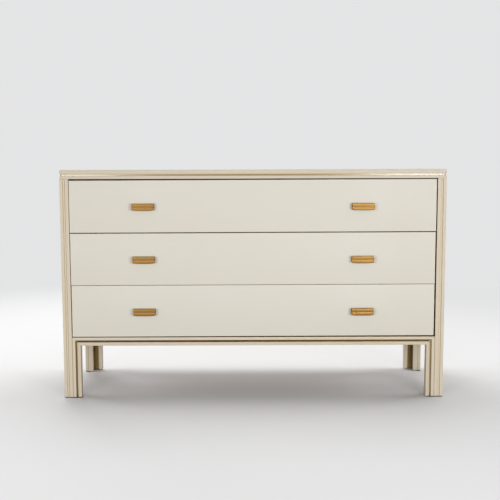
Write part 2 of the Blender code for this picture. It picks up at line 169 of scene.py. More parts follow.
def bump(tree, height, strength, distance, under=None):
    inputs = {"Height": height, "Strength": strength, "Distance": distance}
    if under:
        inputs["Normal"] = under
    return addNode(tree, "Bump", inputs).outputs[0]


def connect(tree, shader, colour, rough, relief):
    for socket, value in (("Base Color", colour), ("Roughness", rough), ("Normal", relief)):
        tree.links.new(value, shader.inputs[socket])


# plain studio: pale floor that fades into a pale background, soft lamps
stageSetup = {
    "background": (0.775, 0.778, 0.785),
    "ambient": (1.0, 1.0, 1.0),
    "ambientStrength": 0.25,
    "floorSize": 30.0,  # half its width
    "floorSeen": (0.78, 0.78, 0.785),
    "floorBounce": (0.24, 0.18, 0.115),  # what the floor throws back at the chest
    "fadeStart": 0.6,  # from the middle of the floor
    "fadeEnd": 3.2,
}
lampSetup = (
    # name, place, aim, width, height, watts
    ("rightSoftbox", (1.33, -3.05, 0.69), (0.1, -0.2, 0.45), 0.75, 0.40, 30.5),
    ("leftSoftbox", (-1.43, -3.05, 0.69), (-0.1, -0.2, 0.45), 0.60, 0.42, 18.0),
    ("frontFill", (-0.2, -4.60, 0.80), (0.0, -0.2, 0.45), 3.4, 1.4, 79.0),
    ("overhead", (0.0, 1.1, 3.4), (0.0, 0.2, 0.0), 3.2, 2.2, 60.0),
    ("backFill", (-1.2, 3.2, 1.5), (0.0, 0.2, 0.4), 2.2, 1.6, 58.0),
    ("leftFill", (-3.1, 0.6, 1.1), (-0.5, 0.1, 0.4), 1.8, 1.4, 34.0),
    ("rightFill", (3.1, 0.6, 1.1), (0.5, 0.1, 0.4), 1.8, 1.4, 34.0),
)


def stageColour(key):
    return (*stageSetup[key], 1.0)


def mixShaders(tree, factor, first, second):
    return addNode(tree, "MixShader", {0: factor, 1: first.outputs[0], 2: second.outputs[0]})


def seenDirectly(tree):
    # the camera and shiny pieces see the pale stage, everything else only its light
    path = addNode(tree, "LightPath").outputs
    seen = combine(tree, "MAXIMUM", path["Is Camera Ray"], path["Is Glossy Ray"])
    return combine(tree, "MAXIMUM", seen, path["Is Transmission Ray"])


def makeWorld():
    world = bpy.data.worlds.new("studio")
    scene.world = world
    world.use_nodes = True
    tree = world.node_tree
    tree.nodes.clear()
    strength = stageSetup["ambientStrength"]
    ambient = addNode(tree, "Background", {0: stageColour("ambient"), 1: strength})
    backdrop = addNode(tree, "Background", {0: stageColour("background"), 1: 1.0})
    mixed = mixShaders(tree, seenDirectly(tree), ambient, backdrop)
    addNode(tree, "OutputWorld", {0: mixed.outputs[0]})


def makeFloor():
    shape = bmesh.new()
    bmesh.ops.create_grid(shape, x_segments=1, y_segments=1, size=stageSetup["floorSize"])
    mesh = bpy.data.meshes.new("floor")
    shape.to_mesh(mesh)
    shape.free()
    floor = bpy.data.objects.new("floor", mesh)
    scene.collection.objects.link(floor)
    finish = bpy.data.materials.new("paleFloor")
    finish.use_nodes = True
    tree = finish.node_tree
    tree.nodes.clear()
    closeUp = addNode(tree, "BsdfDiffuse", {0: stageColour("floorSeen")})
    far = addNode(tree, "Emission", {0: stageColour("background"), 1: 1.0})
    coordinates = addNode(tree, "TexCoord").outputs["Object"]
    distance = addNode(tree, "VectorMath", {0: coordinates}, operation="LENGTH").outputs["Value"]
    fade = addNode(
        tree, "MapRange",
        {0: distance, 1: stageSetup["fadeStart"], 2: stageSetup["fadeEnd"], 3: 0.0, 4: 1.0},
        interpolation_type="SMOOTHSTEP",
    ).outputs[0]
    shown = mixShaders(tree, fade, closeUp, far)
    bounce = addNode(tree, "BsdfDiffuse", {0: stageColour("floorBounce")})
    mixed = mixShaders(tree, seenDirectly(tree), bounce, shown)
    addNode(tree, "OutputMaterial", {0: mixed.outputs[0]})
    mesh.materials.append(finish)


def makeLamps():
    for name, place, aim, width, height, watts in lampSetup:
        data = bpy.data.lights.new(name, "AREA")
        data.shape = "RECTANGLE"
        data.size, data.size_y = width, height
        data.energy = watts
        lamp = bpy.data.objects.new(name, data)
        lamp.location = place
        lamp.rotation_euler = (Vector(aim) - Vector(place)).to_track_quat("-Z", "Y").to_euler()
        lamp.visible_glossy = not name.endswith("Fill")  # the fills make no glints
        scene.collection.objects.link(lamp)


makeCamera()
makeWorld()
makeFloor()
makeLamps()
print("lowboy: camera, floor and lamps set")

# in the finishes: noises as (scale, detail, roughness, distortion), grain noises with their
# scales along and across, ramps as (low, high, value at low, value at high), reliefs as
# (strength, depth)
noiseSpan = (0.3, 0.7)  # where most of a noise's values lie

# cream lacquer: sprayed coat over faint grain, brown glaze left in the lines, rubbed edges, and
# painted shade that darkens deep grooves, gaps and leg recesses
coatSetup = {
    "cloud": (3.5, 3),
    "streak": (5, 190, 5, 0.6),
    "peel": (650.0, 2),
    "speck": (420.0, 5, 0.7),
    "clouded": (0.35, 0.68, 0.0, 0.6),
    "streaked": (0.52, 0.78, 0.0, 0.08),
    "rubbing": (0.35, 0.6, 0.15, 0.8),
    "uneven": (*noiseSpan, 1.0, 0.9),
    "thick": (0.0, 0.5, 0.0, 1.0),  # up to a half the glaze thickens
    "stained": (0.5, 1.0, 0.0, 1.0),  # past that it darkens to painted shade
    "nearFloor": (0.004, 0.030, 0.5, 0.0),  # over the height
    "scuffed": (0.45, 0.75, 0.0, 1.0),
    "glossed": (0.05, 0.42, 0.0, 1.0),
    "peelRelief": (0.06, 0.0002),
    "streakRelief": (0.01, 0.0002),
}
lacquerSetup = {
    "frame": {
        "colour": (0.645, 0.580, 0.466),
        "cloud": (0.615, 0.542, 0.420),
        "streak": (0.520, 0.435, 0.310),
        "glaze": (0.345, 0.235, 0.075),
        # deep: the colour of the painted shade in deep grooves and recesses
        "deep": (0.062, 0.029, 0.006),
        "rubbed": (0.640, 0.565, 0.435),
        "scuff": (0.440, 0.365, 0.265),
        "roughLow": 0.56, "roughHigh": 0.64, "glossy": 0.25, "ior": 1.45,
    },
    "front": {
        "colour": (0.672, 0.653, 0.592),
        "cloud": (0.660, 0.636, 0.568),
        "streak": (0.622, 0.588, 0.510),
        # on the fronts the glaze and deep colours only reach the edges: painted shade in the gaps
        "glaze": (0.600, 0.420, 0.250),
        "deep": (0.420, 0.240, 0.100),
        "rubbed": (0.720, 0.680, 0.580),
        "scuff": (0.600, 0.550, 0.470),
        "roughLow": 0.48, "roughHigh": 0.56, "glossy": 0.75, "ior": 1.48,
    },
}
lacquerSetup["top"] = {
    **lacquerSetup["frame"],
    "colour": (0.599, 0.542, 0.440),
    "cloud": (0.574, 0.509, 0.400),
    "glaze": (0.284, 0.208, 0.082),
    "roughLow": 0.52, "roughHigh": 0.60, "ior": 1.61,
}


def makeLacquer(name, setup, axis):
    coat = coatSetup
    finish, tree, shader = startFinish(name, {"IOR": setup["ior"]})
    plain = placed(tree)
    cloud = noise(tree, plain, *coat["cloud"])
    streak = grainNoise(tree, axis, *coat["streak"])
    peel = noise(tree, plain, *coat["peel"])
    speck = noise(tree, plain, *coat["speck"])

    colour = blend(tree, remap(tree, cloud, *coat["clouded"]), setup["colour"], setup["cloud"])
    colour = blend(tree, remap(tree, streak, *coat["streaked"]), colour, setup["streak"])
    patchy = remap(tree, speck, *coat["rubbing"])
    rubbing = combine(tree, "MULTIPLY", marked(tree, "wear"), patchy)
    colour = blend(tree, rubbing, colour, setup["rubbed"])
    uneven = remap(tree, cloud, *coat["uneven"])
    glaze = combine(tree, "MULTIPLY", marked(tree, "glaze"), uneven)
    colour = blend(tree, remap(tree, glaze, *coat["thick"]), colour, setup["glaze"])
    # past a half the attribute is painted shade, darkening towards the deep colour
    colour = blend(tree, remap(tree, glaze, *coat["stained"]), colour, setup["deep"])
    height = addNode(tree, "SeparateXYZ", {0: plain}).outputs["Z"]
    nearFloor = remap(tree, height, *coat["nearFloor"])
    scuffs = combine(tree, "MULTIPLY", nearFloor, remap(tree, speck, *coat["scuffed"]))
    colour = blend(tree, scuffs, colour, setup["scuff"])

    rough = remap(tree, cloud, *noiseSpan, setup["roughLow"], setup["roughHigh"])
    gloss = remap(tree, glaze, *coat["glossed"])
    rough = addNode(tree, "Mix", {0: gloss, 2: rough, 3: setup["glossy"]}).outputs[0]
    relief = bump(tree, peel, *coat["peelRelief"])
    relief = bump(tree, streak, *coat["streakRelief"], relief)
    connect(tree, shader, colour, rough, relief)
    return finish


# satin brass, brushed along the pull, with a brown bloom in its hollows
brassSetup = {
    "colour": (0.294, 0.166, 0.050),
    "bloom": (0.260, 0.141, 0.040),
    "deep": (0.128, 0.067, 0.019),
    "bright": (0.332, 0.197, 0.066),
    "roughLow": 0.39, "roughHigh": 0.42,
    "cloud": (240.0, 5, 0.6),
    "brush": (60, 2600, 3, 0.5),
    "bloomed": (0.40, 0.70, 0.0, 0.5),
    "rubbing": (0.3, 0.65, 0.5, 0.2),
    "dulled": (0.45, 0.75, 0.0, 0.02),
    "relief": (0.004, 0.0001),
}


def makeBrass():
    setup = brassSetup
    finish, tree, shader = startFinish("satinBrass", {"Metallic": 1.0})
    cloud = noise(tree, placed(tree), *setup["cloud"])
    brush = grainNoise(tree, "X", *setup["brush"])
    colour = blend(tree, remap(tree, cloud, *setup["bloomed"]), setup["colour"], setup["bloom"])
    patchy = remap(tree, cloud, *setup["rubbing"])
    rubbing = combine(tree, "MULTIPLY", marked(tree, "wear"), patchy)
    colour = blend(tree, rubbing, colour, setup["bright"])
    colour = blend(tree, marked(tree, "glaze"), colour, setup["deep"])
    rough = remap(tree, brush, *noiseSpan, setup["roughLow"], setup["roughHigh"])
    rough = combine(tree, "ADD", rough, remap(tree, cloud, *setup["dulled"]))
    connect(tree, shader, colour, rough, bump(tree, brush, *setup["relief"]))
    return finish


# bare and waxed wood: slow bands, fine fibres and short pores along one axis
grainSetup = {
    "fibres": (9, 620, 4, 0.6),
    "pores": (60, 1500, 2, 0.5),
    "banded": (0.36, 0.64, 0.0, 1.0),
    "fibrous": (0.48, 0.75, 0.0, 0.55),
    "porous": (0.62, 0.74, 0.0, 0.75),
    "rubbing": (0.3, 0.6, 0.6, 0.1),
    "sunk": (0.6, 0.75, 1.0, 0.0),
    "fibreRelief": (0.25, 0.0003),
    "poreRelief": (0.30, 0.0003),
    "ior": 1.46,
}
woodSetup = {
    "drawer": {
        "light": (0.610, 0.440, 0.265),
        "dark": (0.470, 0.310, 0.165),
        "pore": (0.300, 0.180, 0.085),
        "stain": (0.052, 0.037, 0.019),
        "roughLow": 0.50, "roughHigh": 0.66,
        "bands": (0.9, 17.0, 3, 0.5, 0.9),
    },
    "runner": {
        "light": (0.500, 0.310, 0.160),
        "dark": (0.360, 0.205, 0.095),
        "pore": (0.200, 0.105, 0.045),
        "stain": (0.050, 0.030, 0.015),
        "roughLow": 0.38, "roughHigh": 0.52,
        "bands": (0.9, 60.0, 3, 0.5, 0.9),
    },
}


def makeWood(name, setup, axis):
    grain = grainSetup
    finish, tree, shader = startFinish(name, {"IOR": grain["ior"]})
    bands = grainNoise(tree, axis, *setup["bands"])
    fibres = grainNoise(tree, axis, *grain["fibres"])
    pores = grainNoise(tree, axis, *grain["pores"])
    colour = blend(tree, remap(tree, bands, *grain["banded"]), setup["light"], setup["dark"])
    colour = blend(tree, remap(tree, fibres, *grain["fibrous"]), colour, setup["dark"])
    colour = blend(tree, remap(tree, pores, *grain["porous"]), colour, setup["pore"])
    patchy = remap(tree, fibres, *grain["rubbing"])
    rubbing = combine(tree, "MULTIPLY", marked(tree, "wear"), patchy)
    colour = blend(tree, rubbing, colour, setup["pore"])
    # painted shade where the attribute is set: the rail edge behind the top gap
    colour = blend(tree, marked(tree, "glaze"), colour, setup["stain"])
    rough = remap(tree, fibres, *noiseSpan, setup["roughLow"], setup["roughHigh"])
    relief = bump(tree, fibres, *grain["fibreRelief"])
    relief = bump(tree, remap(tree, pores, *grain["sunk"]), *grain["poreRelief"], relief)
    connect(tree, shader, colour, rough, relief)
    return finish


# pressed fibre board of the back
fibreSetup = {
    "colour": (0.300, 0.180, 0.095),
    "fleck": (0.420, 0.280, 0.165),
    "dark": (0.190, 0.108, 0.055),
    "roughLow": 0.52, "roughHigh": 0.70, "ior": 1.45,
    "felt": (330.0, 6, 0.7, 0.8),
    "cloud": (4.0, 4),
    "fleckScale": (90, 90, 260),
    "flecks": (1.0, 3, 0.6, 1.2),
    "felted": (0.38, 0.66, 0.0, 1.0),
    "flecked": (0.60, 0.74, 0.0, 0.6),
    "clouded": (0.45, 0.70, 0.0, 0.45),
    "relief": (0.25, 0.0003),
}


def makeBoard():
    setup = fibreSetup
    finish, tree, shader = startFinish("pressedBoard", {"IOR": setup["ior"]})
    plain = placed(tree)
    felt = noise(tree, plain, *setup["felt"])
    cloud = noise(tree, plain, *setup["cloud"])
    flecks = noise(tree, placed(tree, setup["fleckScale"]), *setup["flecks"])
    colour = blend(tree, remap(tree, felt, *setup["felted"]), setup["dark"], setup["colour"])
    colour = blend(tree, remap(tree, flecks, *setup["flecked"]), colour, setup["fleck"])
    colour = blend(tree, remap(tree, cloud, *setup["clouded"]), colour, setup["dark"])
    rough = remap(tree, cloud, *noiseSpan, setup["roughLow"], setup["roughHigh"])
    connect(tree, shader, colour, rough, bump(tree, felt, *setup["relief"]))
    return finish


# near-black moulded glides, their darkness partly painted shade for the line under the legs,
# scratched underneath, and plated screw and pin heads
smallSetup = {
    "nylon": {
        # near-black: partly the nylon's own colour, partly painted shade for the line under the
        # legs
        "colour": (0.052, 0.046, 0.040),
        "mark": (0.150, 0.140, 0.125),
        "roughLow": 0.38, "roughHigh": 0.60, "metal": 0.0,
    },
    "steel": {
        "colour": (0.560, 0.540, 0.490),
        "mark": (0.300, 0.270, 0.220),
        "roughLow": 0.28, "roughHigh": 0.46, "metal": 1.0,
    },
}
scratchSetup = {
    "scale": (160, 1100, 600),
    "marks": (1.0, 4, 0.65, 0.5),
    "cloud": (240.0, 4),
    "scratched": (0.54, 0.74, 0.0, 0.8),
    "relief": (0.2, 0.0002),
    "ior": 1.5,
}


def makeSmall(name, setup):
    scratch = scratchSetup
    sockets = {"Metallic": setup["metal"], "IOR": scratch["ior"]}
    finish, tree, shader = startFinish(name, sockets)
    marks = noise(tree, placed(tree, scratch["scale"]), *scratch["marks"])
    cloud = noise(tree, placed(tree), *scratch["cloud"])
    scratched = remap(tree, marks, *scratch["scratched"])
    colour = blend(tree, scratched, setup["colour"], setup["mark"])
    rough = remap(tree, cloud, *noiseSpan, setup["roughLow"], setup["roughHigh"])
    connect(tree, shader, colour, rough, bump(tree, marks, *scratch["relief"]))
    return finish


frameLacquer = {
    axis: makeLacquer("frameLacquer" + axis, lacquerSetup["frame"], axis) for axis in "XYZ"
}
topLacquer = makeLacquer("topLacquer", lacquerSetup["top"], "X")
frontLacquer = makeLacquer("frontLacquer", lacquerSetup["front"], "X")
drawerWood = {axis: makeWood("drawerWood" + axis, woodSetup["drawer"], axis) for axis in "XY"}
runnerWood = makeWood("runnerWood", woodSetup["runner"], "Y")
satinBrass = makeBrass()
pressedBoard = makeBoard()
glideNylon = makeSmall("glideNylon", smallSetup["nylon"])
platedSteel = makeSmall("platedSteel", smallSetup["steel"])
print("lowboy: finishes mixed")

# shared tolerances for shapes
cutSnap = 0.000005  # vertices this close to a cut lie on it
near = 0.001  # what lies this close to a line or joint belongs to it
hair = 0.0001  # slack where vertices are told apart by their place
sharpAngle = math.radians(32)  # steeper edges are shaded sharp
wearSetup = {"parallel": 0.9, "startAngle": 0.27, "fullOver": 0.12}  # angles in radians


# small helpers for shapes
def only(kind, geom):
    return [item for item in geom if isinstance(item, kind)]


def ease(shape, geom, radius, segments=4, affect="EDGES"):
    bmesh.ops.bevel(
        shape, geom=geom, offset=radius, offset_type="OFFSET", segments=segments, profile=0.5,
        affect=affect, material=-1, clamp_overlap=True,
    )


def flatProfile(corners, segments=4):
    # a flat face from (across, deep, radius) corners, each eased by its own radius
    shape = bmesh.new()
    verts = [shape.verts.new((across, deep, 0.0)) for across, deep, radius in corners]
    shape.faces.new(verts)
    for vert, corner in zip(verts, corners):
        if corner[2]:
            ease(shape, [vert], corner[2], segments, "VERTICES")
    return shape


def pullBar(shape, length):
    # the flat profile becomes a bar along +Z, closed at both ends
    grown = bmesh.ops.extrude_face_region(shape, geom=shape.faces[:], use_keep_orig=True)
    bmesh.ops.translate(shape, verts=only(BMVert, grown["geom"]), vec=(0.0, 0.0, length))
    bmesh.ops.recalc_face_normals(shape, faces=shape.faces[:])


def trim(shape, point, normal):
    # cut at a plane, drop the outer side and close the cut
    geom = shape.verts[:] + shape.edges[:] + shape.faces[:]
    cut = bmesh.ops.bisect_plane(
        shape, geom=geom, dist=cutSnap, plane_co=point, plane_no=normal, clear_outer=True
    )
    bmesh.ops.holes_fill(shape, edges=only(BMEdge, cut["geom_cut"]), sides=0)
    bmesh.ops.recalc_face_normals(shape, faces=shape.faces[:])


def split(shape, geom, point, normal, snap=cutSnap):
    # cut the given faces at a plane and keep both sides
    cut = bmesh.ops.bisect_plane(shape, geom=geom, dist=snap, plane_co=point, plane_no=normal)
    return cut["geom"]


def sink(shape, face, move):
    # the face moves straight in or out, with walls round it
    grown = bmesh.ops.extrude_face_region(shape, geom=[face])
    bmesh.ops.translate(shape, verts=only(BMVert, grown["geom"]), vec=move)


def markWear(shape, along=None):
    # outer edges that hands and cloths rub; along keeps it to edges in one direction
    wear = shape.verts.layers.float.new("wear")
    for edge in shape.edges:
        if not edge.is_manifold or not edge.is_convex:
            continue
        run = (edge.verts[1].co - edge.verts[0].co).normalized()
        if along is not None and abs(run.dot(along)) < wearSetup["parallel"]:
            continue
        amount = (edge.calc_face_angle() - wearSetup["startAngle"]) / wearSetup["fullOver"]
        amount = min(1.0, max(0.0, amount))
        for vert in edge.verts:
            vert[wear] = max(vert[wear], amount)


# the attribute holds glaze in hollows and lines, and painted shade where it is set past a half
def markGlazeAndShade(shape, depthAt):
    glaze = shape.verts.layers.float.new("glaze")
    for vert in shape.verts:
        vert[glaze] = min(1.0, max(0.0, depthAt(vert.co)))


def put(shape, matrix):
    bmesh.ops.transform(shape, matrix=matrix, verts=shape.verts[:])


def quarterTurn(quarter, point):
    # what is shaped for the front left corner, turned to the other corners and sides
    return Matrix.Translation(point) @ Matrix.Rotation(quarter * math.pi / 2, 4, "Z")


def scatter(single, places):
    # one copy of a small shape at each place
    mesh = bpy.data.meshes.new("single")
    single.to_mesh(mesh)
    joined = bmesh.new()
    for place in places:
        start = len(joined.verts)
        joined.from_mesh(mesh)
        bmesh.ops.transform(joined, matrix=place, verts=joined.verts[start:])
    bpy.data.meshes.remove(mesh)
    return joined


def pieceName(node):
    first, *rest = node.split("_")
    return first + "".join(word.capitalize() for word in rest)


def addPiece(name, shape, finish, body, node=None):
    mesh = bpy.data.meshes.new(name)
    shape.to_mesh(mesh)
    shape.free()
    mesh.shade_smooth()
    mesh.set_sharp_from_angle(angle=sharpAngle)
    mesh.materials.append(finish)
    piece = bpy.data.objects.new(name, mesh)
    scene.collection.objects.link(piece)
    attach(piece, body)
    if node:
        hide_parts(node)


def standIn(node, shape, finish):
    addPiece(pieceName(node), shape, finish, frame["nodes"][node]["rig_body"], node)


# corner posts: two fine lines with a crowned reed between them, on both outer faces
postSetup = {
    "size": 0.028,
    "corner": 0.0018,
    "firstLine": 0.0100,
    "secondLine": 0.0165,
    "lineWidth": 0.0012,
    "lineDepth": 0.0013,
    "lineRoot": 0.0002,  # radii at the bottom of a line and at its outer edge
    "lineEdge": 0.0004,
    "reedDrop": 0.0006,
    "reedPoint": 0.00048,  # where the reed's two flanks would meet
    "reedEdge": 0.0003,
    "reedRadius": 0.0022,
    "jointEase": 0.0008,
    "innerEase": 0.001,
    "inside": 0.0165,  # from here on the inner faces are dark brown: painted shade of the leg's inner corner
    "deepShade": {"front_right": 0.003},  # here the painted shade comes further forward, darkening the gap beside the drawers
    "shadeEdge": 0.001,
    "insideShade": 0.85,
    "lineGlaze": (0.34, 0.34),  # first and second line
    "lineShadeAndLight": {"front_right": (0.55, 0.04)},  # on this post the first line is darkened with painted shade and the second lightened with painted light
    "jointGlaze": 0.40,
    "glazeFrom": 0.0003,  # depth in a line where the glaze begins
    "glazeOver": 0.0007,  # and how much deeper it would be full
}


def postFace(setup):
    half = setup["lineWidth"] / 2
    first, second = setup["firstLine"], setup["secondLine"]
    return [
        (first - half, 0.0, setup["lineEdge"]),
        (first, setup["lineDepth"], setup["lineRoot"]),
        (first + half, setup["reedDrop"], setup["reedEdge"]),
        ((first + second) / 2, -setup["reedPoint"], setup["reedRadius"]),
        (second - half, setup["reedDrop"], setup["reedEdge"]),
        (second, setup["lineDepth"], setup["lineRoot"]),
        (second + half, 0.0, setup["lineEdge"]),
    ]


def postGlazeAndShade(co, lines, inside):
    setup = postSetup
    first, second = setup["firstLine"], setup["secondLine"]
    deep, across = sorted((co.x, co.y))
    if across > setup["size"] - near / 2 and deep < 2 * near:
        return setup["jointGlaze"]
    # painted shade on the inner faces
    if deep > inside - 2 * hair:
        return setup["insideShade"]
    if first - near < across < second + near and deep < 3 * near:
        most = lines[0] if across < (first + second) / 2 else lines[1]
        return min(most, (deep - setup["glazeFrom"]) / setup["glazeOver"])
    return 0.0


def makePosts():
    setup = postSetup
    face = postFace(setup)
    size = setup["size"]
    for quarter, (corner, x, y) in enumerate(legCorners):
        inside = setup["deepShade"].get(corner, setup["inside"])
        shadeBorder = inside - setup["shadeEdge"]
        outline = [
            (0.0, 0.0, setup["corner"]),
            *face,
            (size, 0.0, setup["jointEase"]), (size, shadeBorder, 0), (size, inside, 0),
            (size, size, setup["innerEase"]),
            (inside, size, 0), (shadeBorder, size, 0), (0.0, size, setup["jointEase"]),
        ]
        outline += [(deep, across, radius) for across, deep, radius in reversed(face)]
        shape = flatProfile(outline)
        pullBar(shape, postTopZ - footZ)
        lines = setup["lineShadeAndLight"].get(corner, setup["lineGlaze"])
        markGlazeAndShade(shape, lambda co: postGlazeAndShade(co, lines, inside))
        markWear(shape, Vector((0, 0, 1)))
        put(shape, quarterTurn(quarter, (x, y, footZ)))
        standIn(corner + "_post", shape, frameLacquer["Z"])


makePosts()
print("lowboy: posts made")

# grooved moulding of the aprons and leg linings, from the outer edge inwards
mouldingSetup = {
    "width": 0.027,
    "depth": 0.027,
    "board": 0.016,
    "outerStrip": 0.0097,
    "groove": 0.0065,
    "grooveDepth": 0.011,
    "edgeRadius": 0.0007,
    "jointEase": 0.0007,
    "grooveCorner": 0.0008,
    "rearEase": (0.0008, 0.0006, 0.0006),  # inner strip's two rear edges, thin board's outer one
    "edgeLine": 0.010,  # back from the face
    "lineWidth": 0.0012,
    "lineDepth": 0.0013,
    "lineRoot": 0.0002,
    "lineEdge": 0.0004,
    "shadeBorder": 0.0127,  # behind the thin board the painted shade of the leg's inner recess reaches from the outer edge to here
    "shadeEdge": 0.0006,
    # the apron's groove is glazed and, past the glaze, darkened with painted shade
    "apronGlaze": 1.0,
    "liningGlaze": 0.47,
    "frontGlaze": {"front_left_leg": 0.58, "front_right_leg": 0.36},  # on the front only: painted shade in the left leg's groove, painted light in the right one's
    "stripBounceLight": 0.07,  # painted warm bounce light from the floor on the inner strip's face
    "rearShade": 0.74,
    "jointGlaze": 0.5,
    "glazeFrom": (0.0005, 0.0003),  # depth where it begins in the groove and in the edge line
    "glazeOver": (0.0025, 0.0006),
}


def mouldingCorners(setup):
    start = setup["outerStrip"]
    end = start + setup["groove"]
    half = setup["lineWidth"] / 2
    fade = setup["shadeEdge"] / 2
    width, radius = setup["width"], setup["edgeRadius"]
    innerEase, outerEase, boardEase = setup["rearEase"]
    return [
        (0.0, 0.0, setup["jointEase"]),
        (start, 0.0, radius),
        (start, setup["grooveDepth"], setup["grooveCorner"]),
        (end, setup["grooveDepth"], setup["grooveCorner"]),
        (end, 0.0, radius),
        (width, 0.0, radius),
        (width, setup["edgeLine"] - half, setup["lineEdge"]),
        (width - setup["lineDepth"], setup["edgeLine"], setup["lineRoot"]),
        (width, setup["edgeLine"] + half, setup["lineEdge"]),
        (width, setup["depth"], innerEase),
        (end, setup["depth"], outerEase),
        (end, setup["board"], 0.0),
        (setup["shadeBorder"] + fade, setup["board"], 0.0),
        (setup["shadeBorder"] - fade, setup["board"], 0.0),
        (0.0, setup["board"], boardEase),
    ]


def mouldingGlazeAndShade(co, most):
    setup = mouldingSetup
    across, deep = -co.z, co.y
    start = setup["outerStrip"]
    end = start + setup["groove"]
    if start - hair < across < end + hair and deep < setup["grooveDepth"] + near:
        return min(most, (deep - setup["glazeFrom"][0]) / setup["glazeOver"][0])
    # painted bounce light on the inner strip's face
    if across > end and deep < setup["edgeRadius"] + hair:
        return setup["stripBounceLight"]
    # painted shade in the leg's inner recess
    if across < setup["shadeBorder"] and deep > setup["board"] - near:
        return setup["rearShade"]
    if across < near / 2 and deep < near:
        return setup["jointGlaze"]
    if across > setup["width"] - 2 * near and abs(deep - setup["edgeLine"]) < near:
        return (setup["width"] - across - setup["glazeFrom"][1]) / setup["glazeOver"][1]
    return 0.0


def makeMoulding(length, mitreStart, mitreEnd, most):
    # along +X with its face at Y 0 and its outer edge at Z 0
    shape = flatProfile(mouldingCorners(mouldingSetup))
    pullBar(shape, length)
    put(shape, Matrix(((0, 0, 1, 0), (0, 1, 0, 0), (-1, 0, 0, 0), (0, 0, 0, 1))))
    if mitreStart:
        normal = Vector((-1, 0, -1)).normalized()
        trim(shape, -normal * seatGap / 2, normal)
    if mitreEnd:
        normal = Vector((1, 0, -1)).normalized()
        trim(shape, Vector((length, 0, 0)) - normal * seatGap / 2, normal)
    markGlazeAndShade(shape, lambda co: mouldingGlazeAndShade(co, most))
    markWear(shape, Vector((1, 0, 0)))
    return shape


def liningGlaze(leg, facing):
    plain = mouldingSetup["liningGlaze"]
    return mouldingSetup["frontGlaze"].get(leg, plain) if facing == "front" else plain


def makeMouldings():
    halfDepth = (backY - frontY) / 2
    legs = [corner + "_leg" for corner, x, y in legCorners]
    sides = (  # side, name of its linings, middle x and y, half its length, grain
        ("front", "front", 0.0, frontY, caseHalf, "X"),
        ("right", "side", caseHalf, middleY, halfDepth, "Y"),
        ("rear", "rear", 0.0, backY, caseHalf, "X"),
        ("left", "side", -caseHalf, middleY, halfDepth, "Y"),
    )
    length = apronTopZ - footZ
    for quarter, (side, facing, x, y, half, axis) in enumerate(sides):
        plan = quarterTurn(quarter, (x, y, 0))
        reach = half - postSetup["size"] - seatGap
        apron = makeMoulding(2 * reach, True, True, mouldingSetup["apronGlaze"])
        put(apron, plan @ Matrix.Translation((-reach, 0, apronTopZ)))
        standIn(side + "_apron", apron, frameLacquer[axis])
        linings = (  # leg, mitred at its start, at its end, place of its start, turn
            (legs[quarter], False, True, (-reach, 0, footZ), -math.pi / 2),
            (legs[(quarter + 1) % 4], True, False, (reach, 0, apronTopZ), math.pi / 2),
        )
        for leg, mitreStart, mitreEnd, point, turn in linings:
            lining = makeMoulding(length, mitreStart, mitreEnd, liningGlaze(leg, facing))
            put(lining, plan @ Matrix.Translation(point) @ Matrix.Rotation(turn, 4, "Y"))
            standIn(f"{leg}_{facing}_lining", lining, frameLacquer["Z"])


makeMouldings()
print("lowboy: aprons and leg linings made")

# top panel: strip, hollow flute and rounded bead run round all four edges
topSetup = {
    "cornerRadius": 0.007,
    "strip": 0.0087,
    "flute": 0.0072,
    "fluteDepth": 0.0030,
    "fluteSlope": 0.0001,
    "fluteRadius": 0.0003,
    "lipRadius": 0.0004,
    "beadRadius": 0.0056,
    "landing": 0.0065,  # flat under and over the edge, for closing the panel
    "segments": 6,
    "fluteGlaze": 0.5,
    "glazeFade": (0.0010, 0.0022),  # from the flute's lower and upper edges to the full glaze
}


def topLine(setup, thickness):
    # the edge from below upwards, as (inset, height) points
    landing, lip = setup["landing"], setup["lipRadius"]
    fluteTop = setup["strip"] + setup["flute"]
    corners = [
        (landing, 0.0, 0.0),
        (0.0, 0.0, lip),
        (0.0, setup["strip"], lip),
        (setup["fluteDepth"], setup["strip"] + setup["fluteSlope"], setup["fluteRadius"]),
        (setup["fluteDepth"], setup["strip"] + setup["glazeFade"][0], 0.0),
        (setup["fluteDepth"], fluteTop - setup["glazeFade"][1], 0.0),
        (setup["fluteDepth"], fluteTop - setup["fluteSlope"], setup["fluteRadius"]),
        (0.0, fluteTop, lip),
        (0.0, thickness, setup["beadRadius"]),
        (landing, thickness, 0.0),
    ]
    shape = flatProfile(corners, setup["segments"])
    line = [loop.vert.co.xy for loop in shape.faces[:][0].loops]
    shape.free()
    begin = Vector(corners[0][:2])
    first = min(range(len(line)), key=lambda index: (line[index] - begin).length)
    return line[first:] + line[:first]


